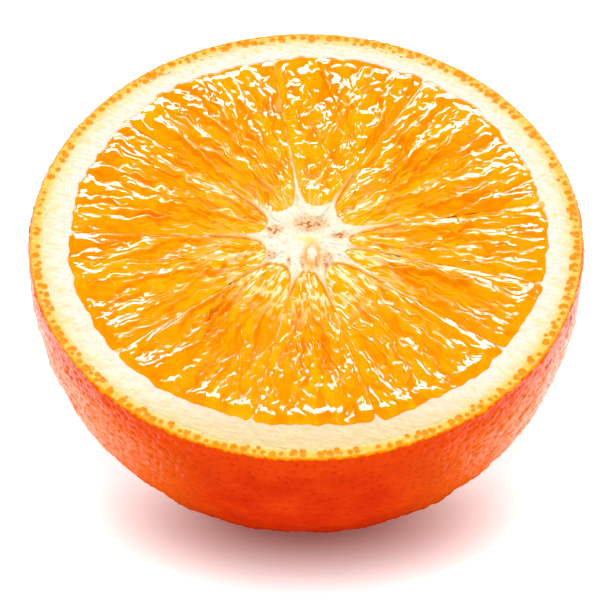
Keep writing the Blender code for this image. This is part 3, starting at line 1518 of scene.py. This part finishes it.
@dataclass(frozen=True)
class Skin:
    """The outside of the peel, from the cut edge down to the flat spot.

    Attributes:
        face: The plan of the cut face.
        finish: What the skin is made of.
        girth: The greatest radius.
        girth_drop: How far below the cut face that is.
        power: 2 is a true ball, more is squarer.
        rest: Radius of the flat spot.
        edge_round: Radius where the skin turns over into the cut face.
        sunk: How far the skin lies inside the CAD body in the mean, so that its lumps reach the body.
        lumps: Slow lumps.
        pebbles: Pebbles between the pores.
        crinkles: Fine relief on them.
        cut_line: How the cut's golden edge wanders.
        pore_pitch: The pores' spacing.
        pore_radius: Radius of a pore of middling size.
        pore_depth: Depth of a pore.
        pore_jitter: How far a pore strays from its even place, in pitches.
        band_ends: Where the upper and the middle band end, along the section.
        band_rows: Grid points down each band.
        columns: Grid points round the skin.
    """

    face: CutFace
    finish: SkinFinish
    girth: float = GIRTH
    girth_drop: float = 3.0
    power: float = 2.2
    rest: float = 7.0
    edge_round: float = EDGE_ROUND
    sunk: float = 0.12
    lumps: Ripple = Ripple(210, 9.0, height=0.10)
    pebbles: Ripple = Ripple(211, 2.6, height=0.045)
    crinkles: Ripple = Ripple(213, 1.2, height=0.042)
    cut_line: Ripple = Ripple(212, 1.4, height=0.12)
    pore_pitch: float = 1.35
    pore_radius: float = 0.33
    pore_depth: float = 0.17
    pore_jitter: float = 0.38
    band_ends: tuple[float, float] = (15.0, 31.0)
    band_rows: tuple[int, int, int] = (76, 76, 70)
    columns: int = 1200

    def profile(self, count: int = 4000) -> tuple[Array, Array, Array]:
        """The skin's section from the cut face's rim to the middle of the flat spot.

        A quarter round turns the cut face over into the squarish ball, whose radius is
        girth (1 - h^power)^(1/power) with h the height from the girth over its half
        height, down to the flat spot.

        Args:
            count: Points down the round part.

        Returns:
            Distance along the section, radius and height.
        """
        top = self.face.height
        depth = (top - self.girth_drop) / (1.0 - (self.rest / self.girth) ** self.power) ** (
            1.0 / self.power
        )
        above = (1.0 - ((self.girth_drop - self.edge_round) / depth) ** self.power) ** (1.0 / self.power)
        turn = np.linspace(0.5 * math.pi, 0.0, 24)
        start = self.girth * above - self.edge_round
        over = (start + self.edge_round * np.cos(turn), top - self.edge_round * (1.0 - np.sin(turn)))
        first = -math.asin(((self.girth_drop - self.edge_round) / depth) ** (self.power / 2.0))
        last = math.acos((self.rest / self.girth) ** (self.power / 2.0))
        t = np.linspace(first, last, count)[1:]
        round_part = (
            self.girth * np.cos(t) ** (2.0 / self.power),
            top - self.girth_drop - depth * np.sign(t) * np.abs(np.sin(t)) ** (2.0 / self.power),
        )
        flat = (np.linspace(self.rest, 0.05, 60)[1:], np.zeros(59))
        radius = np.concatenate([[start - 0.25], over[0], round_part[0], flat[0]])
        height = np.concatenate([[top], over[1], round_part[1], flat[1]])
        along = np.concatenate([[0.0], np.cumsum(np.hypot(np.diff(radius), np.diff(height)))])
        return along, radius, height

    def pores(self, along: Array, radius: Array, angle: Array, end: float) -> Array:
        """Depth of the pores: 0 between them, up to 1 in the middle of one.

        They sit in rings a pitch apart with as many to the ring as fit at that pitch,
        each one jittered, and a point looks at three rings and three pores in each.

        Args:
            along: The points' distance down the section.
            radius: Their radius.
            angle: Their direction.
            end: The whole section's length.

        Returns:
            The depth at the points.
        """
        rng = np.random.default_rng(200)
        rings = int(end / self.pore_pitch) + 1
        known_along, known_radius, _ = self.profile()
        ring_radius = np.interp((np.arange(rings) + 0.5) * self.pore_pitch, known_along, known_radius)
        counts = np.maximum((FULL_TURN * ring_radius / self.pore_pitch).astype(int), 3)
        starts = np.concatenate([[0], np.cumsum(counts)[:-1]])
        total = int(counts.sum())
        shift_along = rng.uniform(-self.pore_jitter, self.pore_jitter, total) * self.pore_pitch
        shift_angle = rng.uniform(-self.pore_jitter, self.pore_jitter, total)
        size = self.pore_radius * rng.uniform(0.6, 1.25, total)
        ring_here = np.floor(along / self.pore_pitch).astype(int)
        deepest = np.zeros_like(along)
        for ring_step in (-1, 0, 1):
            ring = np.clip(ring_here + ring_step, 0, rings - 1)
            count = counts[ring]
            step = FULL_TURN / count
            here = np.floor(np.mod(angle, FULL_TURN) / step).astype(int)
            for neighbour in (-1, 0, 1):
                slot = np.mod(here + neighbour, count)
                which = starts[ring] + slot
                middle = (slot + 0.5 + shift_angle[which]) * step
                sideways = (np.mod(angle - middle + math.pi, FULL_TURN) - math.pi) * radius
                down = along - ((ring + 0.5) * self.pore_pitch + shift_along[which])
                deepest = np.maximum(deepest, np.exp(-(np.hypot(sideways, down) / size[which]) ** 2))
        return deepest

    def band(self, name: str, steps: Array, material: Material) -> Object:
        """Builds one band of skin.

        Every point is moved along the section's normal by slow lumps, pebbles and
        crinkles less the pores' depth. The flat spot stays flat.

        Args:
            name: The band's name.
            steps: Where its rows lie along the section.
            material: Its finish.

        Returns:
            The band's object.
        """
        known_along, known_radius, known_height = self.profile()
        end = float(known_along[-1])
        turn = np.linspace(0.0, FULL_TURN, self.columns, endpoint=False)
        along, angle = np.meshgrid(steps, turn, indexing="ij")
        radius, height = (np.interp(along, known_along, known) for known in (known_radius, known_height))
        nudge = 0.02
        slope_r, slope_z = (
            np.interp(along + nudge, known_along, known) - np.interp(along - nudge, known_along, known)
            for known in (known_radius, known_height)
        )
        size = np.maximum(np.hypot(slope_r, slope_z), 1e-6)
        out_r, out_z = -slope_z / size, slope_r / size
        x, y = radius * np.cos(angle), radius * np.sin(angle)
        free = smooth_step(self.rest, self.rest + 6.0, radius) * smooth_step(0.1, 1.2, along)
        pore = self.pores(along, radius, angle, end)
        lift = self.lumps.at(x, y, height) + self.pebbles.at(x, y, height) + self.crinkles.at(x, y, height)
        lift = (lift - self.sunk) * free - self.pore_depth * pore * smooth_step(0.2, 0.8, along)
        lift = lift * smooth_step(self.rest - 0.5, self.rest + 2.0, radius)
        radius = radius + lift * out_r
        height = height + lift * out_z
        points = np.stack([radius * np.cos(angle), radius * np.sin(angle), height], axis=-1)
        ragged = along + self.cut_line.at(x, y)
        notes = {
            # The pore note also paints shade into the pores.
            "pore": pore,
            "near_cut": 1.0 - smooth_step(0.0, 9.0, along),
            # Painted light: the flanks' lighter colour; the same note also makes them rougher.
            "flank": 0.8 * smooth_step(9.0, 32.0, np.abs(x)) * smooth_step(2.0, 24.0, height),
            "sheen": smooth_step(20.0, 42.0, np.abs(x)) ** 3,
            # Painted shade: darker low on the skin, towards the foot.
            "low": 0.85 * smooth_step(28.0, 12.0, height),
            "edge": 1.0 - smooth_step(0.2, 0.7, ragged),
        }
        pole = (0.0, 0.0, 0.0) if steps[-1] == end else None
        return Sheet(points, wrap=True, pole=pole, notes=notes).build(name, material)

    def build(self) -> list[Object]:
        """Builds the skin in three bands, finest at the top, that share their border rows.

        Returns:
            The bands' objects.
        """
        material = self.finish.material()
        end = float(self.profile()[0][-1])
        borders = (0.0, *self.band_ends, end)
        names = ("skin_upper", "skin_middle", "skin_lower")
        return [
            self.band(name, np.linspace(first, last, rows), material)
            for name, first, last, rows in zip(names, borders, borders[1:], self.band_rows)
        ]


# The studio


@dataclass(frozen=True)
class Pool:
    """A soft elliptical pool of shadow on the floor.

    Attributes:
        middle: Its middle, in millimetres.
        radii: Its radii, in millimetres.
        ramp: Where the floor begins to brighten and is at its brightest, in radii.
        top: How bright it is outside.
    """

    middle: tuple[float, float]
    radii: tuple[float, float]
    ramp: tuple[float, float]
    top: float

    def value(self, tree: Tree) -> Socket:
        """The floor's brightness: 0 inside, easing up to top outside.

        Args:
            tree: The floor's node tree.

        Returns:
            The value's socket.
        """
        place = add_node(tree, "ShaderNodeTexCoord").outputs["Object"]
        shift = (self.middle[0] * MM, self.middle[1] * MM, 0.0)
        scale = (self.radii[0] * MM, self.radii[1] * MM, 1.0)
        for operation, by in (("SUBTRACT", shift), ("DIVIDE", scale)):
            place = add_node(tree, "ShaderNodeVectorMath", {0: place, 1: by}, operation=operation).outputs[0]
        away = add_node(tree, "ShaderNodeVectorMath", {0: place}, operation="LENGTH").outputs["Value"]
        limits = {0: away, 1: self.ramp[0], 2: self.ramp[1], 3: 0.0, 4: self.top}
        return add_node(tree, "ShaderNodeMapRange", limits, interpolation_type="SMOOTHSTEP").outputs[0]


@dataclass(frozen=True)
class FloorFinish:
    """White paper: matt, and glowing as if lit from behind, except in two pools of shadow.

    One pool is round, under the fruit. The other is an ellipse in front of it, as
    the light comes from behind. Both blush, as light from the skin falls there.

    Attributes:
        matt: The paper's colour in a pool and outside.
        glow: The glow's colour in a pool and outside.
        pools: The pools.
    """

    matt: tuple[str, str] = ("#f6cac2", "#e0dede")
    glow: tuple[str, str] = ("#ffd8d0", "#ffffff")
    pools: tuple[Pool, Pool] = (
        Pool((0.0, 0.0), (1.0, 1.0), (6.0, 26.0), 1.0),
        Pool((0.5, -20.0), (34.0, 13.5), (0.14, 1.14), 0.8),
    )

    def material(self) -> Material:
        """Builds the material: a matt surface and its glow, added up.

        Returns:
            The new material.
        """
        material = bpy.data.materials.new("pale_floor")
        material.use_nodes = True
        tree = material.node_tree
        tree.nodes.clear()
        factors = dict(enumerate(pool.value(tree) for pool in self.pools))
        bright = add_node(tree, "ShaderNodeMath", factors, operation="MULTIPLY").outputs[0]
        tints = []
        for shade, open_floor in (self.matt, self.glow):
            ends = {0: bright, 6: linear(shade), 7: linear(open_floor)}
            tints.append(add_node(tree, "ShaderNodeMix", ends, data_type="RGBA").outputs[2])
        matt, glow = tints
        surface = add_node(tree, "ShaderNodeBsdfDiffuse", {"Color": matt}).outputs[0]
        light = add_node(tree, "ShaderNodeEmission", {"Color": glow, "Strength": bright}).outputs[0]
        both = add_node(tree, "ShaderNodeAddShader", {0: surface, 1: light}).outputs[0]
        add_node(tree, "ShaderNodeOutputMaterial", {"Surface": both})
        return material


@dataclass(frozen=True)
class SoftBox:
    """A rectangular lamp that faces the fruit, or lies flat and faces up.

    Attributes:
        name: Its name.
        place: Where it stands, in metres.
        size: Its width and height, in metres.
        radiance: How bright its face is, where white surroundings are 1.
        gleam: True if it only shows in reflections, False if it only lights the scene.
        lies: True if it lies flat.
    """

    name: str
    place: tuple[float, float, float]
    size: tuple[float, float]
    radiance: float
    gleam: bool
    lies: bool = False

    def add(self, target: Vector) -> Object:
        """Adds the lamp.

        Args:
            target: The point it faces, in metres.

        Returns:
            The lamp.
        """
        data = bpy.data.lights.new(self.name, "AREA")
        data.shape = "RECTANGLE"
        data.size, data.size_y = self.size
        data.energy = self.radiance * math.pi * self.size[0] * self.size[1]
        lamp = bpy.data.objects.new(self.name, data)
        bpy.context.scene.collection.objects.link(lamp)
        lamp.location = self.place
        facing = Vector((0.0, 0.0, -1.0)) if self.lies else Vector(self.place) - target
        lamp.rotation_euler = facing.to_track_quat("Z", "Y").to_euler()
        lamp.visible_camera = False
        lamp.visible_diffuse = not self.gleam
        lamp.visible_glossy = self.gleam
        return lamp


@dataclass(frozen=True)
class Studio:
    """Floor, camera, lamps and white surroundings.

    Attributes:
        target: The middle of the cut face, in metres.
        elevation: The camera's height above the horizon, in degrees.
        distance: From the camera to the target, in metres.
        lens: Focal length, in millimetres.
        sensor: The sensor's width, in millimetres.
        tilt: How far below the target the camera looks, in degrees.
        floor_half: Half the floor's width, in millimetres.
        surround: How bright the surroundings are as light, and to the camera.
        lamps: The lamps: one behind and one overhead, and a low panel on either side.
    """

    target: tuple[float, float, float]
    elevation: float = 50.3
    distance: float = 0.64
    lens: float = 261.8
    sensor: float = 36.0
    tilt: float = 0.87
    floor_half: float = 6000.0
    surround: tuple[float, float] = (0.52, 1.1)
    lamps: tuple[SoftBox, ...] = (
        SoftBox("back_box", (0.0, 1.35, 0.46), (1.8, 0.66), 20.0, gleam=True),
        SoftBox("top_box", (0.0, -0.05, 1.3), (0.8, 0.8), 6.6, gleam=False),
        SoftBox("side_panel", (-0.08, 0.032, 0.001), (0.09, 0.14), 3.0, gleam=True, lies=True),
        SoftBox("side_panel", (0.08, 0.032, 0.001), (0.09, 0.14), 3.0, gleam=True, lies=True),
    )

    def camera(self) -> Object:
        """Adds the camera and makes it the scene's.

        Returns:
            The camera.
        """
        data = bpy.data.cameras.new("camera")
        data.lens = self.lens
        data.sensor_width = self.sensor
        camera = bpy.data.objects.new("camera", data)
        bpy.context.scene.collection.objects.link(camera)
        rise = math.radians(self.elevation)
        back = Vector((0.0, -math.cos(rise), math.sin(rise)))
        camera.location = Vector(self.target) + back * self.distance
        camera.rotation_euler = (math.radians(90.0 - self.elevation - self.tilt), 0.0, 0.0)
        bpy.context.scene.camera = camera
        return camera

    def floor(self) -> Object:
        """Adds the pale floor, a level sheet that reflections don't see.

        Returns:
            The floor.
        """
        side = np.linspace(-self.floor_half, self.floor_half, 3)
        x, y = np.meshgrid(side, side, indexing="ij")
        floor = Sheet(np.stack([x, y, np.zeros_like(x)], axis=-1)).build("floor", FloorFinish().material())
        floor.visible_glossy = False
        return floor

    def surroundings(self) -> None:
        """Adds white surroundings: bright to the camera, softer as light, absent from reflections."""
        world = bpy.data.worlds.new("white_studio")
        bpy.context.scene.world = world
        world.use_nodes = True
        tree = world.node_tree
        tree.nodes.clear()
        world.cycles_visibility.glossy = False
        seen = add_node(tree, "ShaderNodeLightPath").outputs["Is Camera Ray"]
        as_light, to_camera = self.surround
        strength = add_node(tree, "ShaderNodeMix", {0: seen, 2: as_light, 3: to_camera}).outputs[0]
        inputs = {"Color": linear("#ffffff"), "Strength": strength}
        light = add_node(tree, "ShaderNodeBackground", inputs).outputs[0]
        add_node(tree, "ShaderNodeOutputWorld", {"Surface": light})

    def build(self) -> None:
        """Sets up the whole studio."""
        self.camera()
        self.floor()
        self.surroundings()
        for lamp in self.lamps:
            lamp.add(Vector(self.target))
        bpy.context.scene.view_settings.view_transform = "Standard"


def place_piece(piece: Object, slot: Slot) -> None:
    """Says that a piece belongs to the fruit and stands for its CAD solid, and logs its slot."""
    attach(piece, "root")
    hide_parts(NODE)
    log.info("%s: %d faces, slot %s", piece.name, len(piece.data.polygons), slot.value)


def main() -> None:
    """Builds the fruit piece by piece, then the studio."""
    logging.basicConfig(level=logging.INFO, format="%(message)s")
    face = CutFace()
    pieces = [
        (Slot.PEEL, Skin(face, SkinFinish()).build()),
        (Slot.PITH, Rind(face, PithFinish(), ZestFinish()).build()),
        (Slot.FLESH, Flesh(face, PulpFinish()).build()),
        (Slot.PITH, Membranes(face, MembraneFinish()).build()),
        (Slot.PITH, [Core(face, CoreFinish()).build()]),
    ]
    for slot, group in pieces:
        for piece in group:
            place_piece(piece, slot)
    Studio(target=(0.0, 0.0, face.height * MM)).build()


if __name__ == "__main__":
    main()
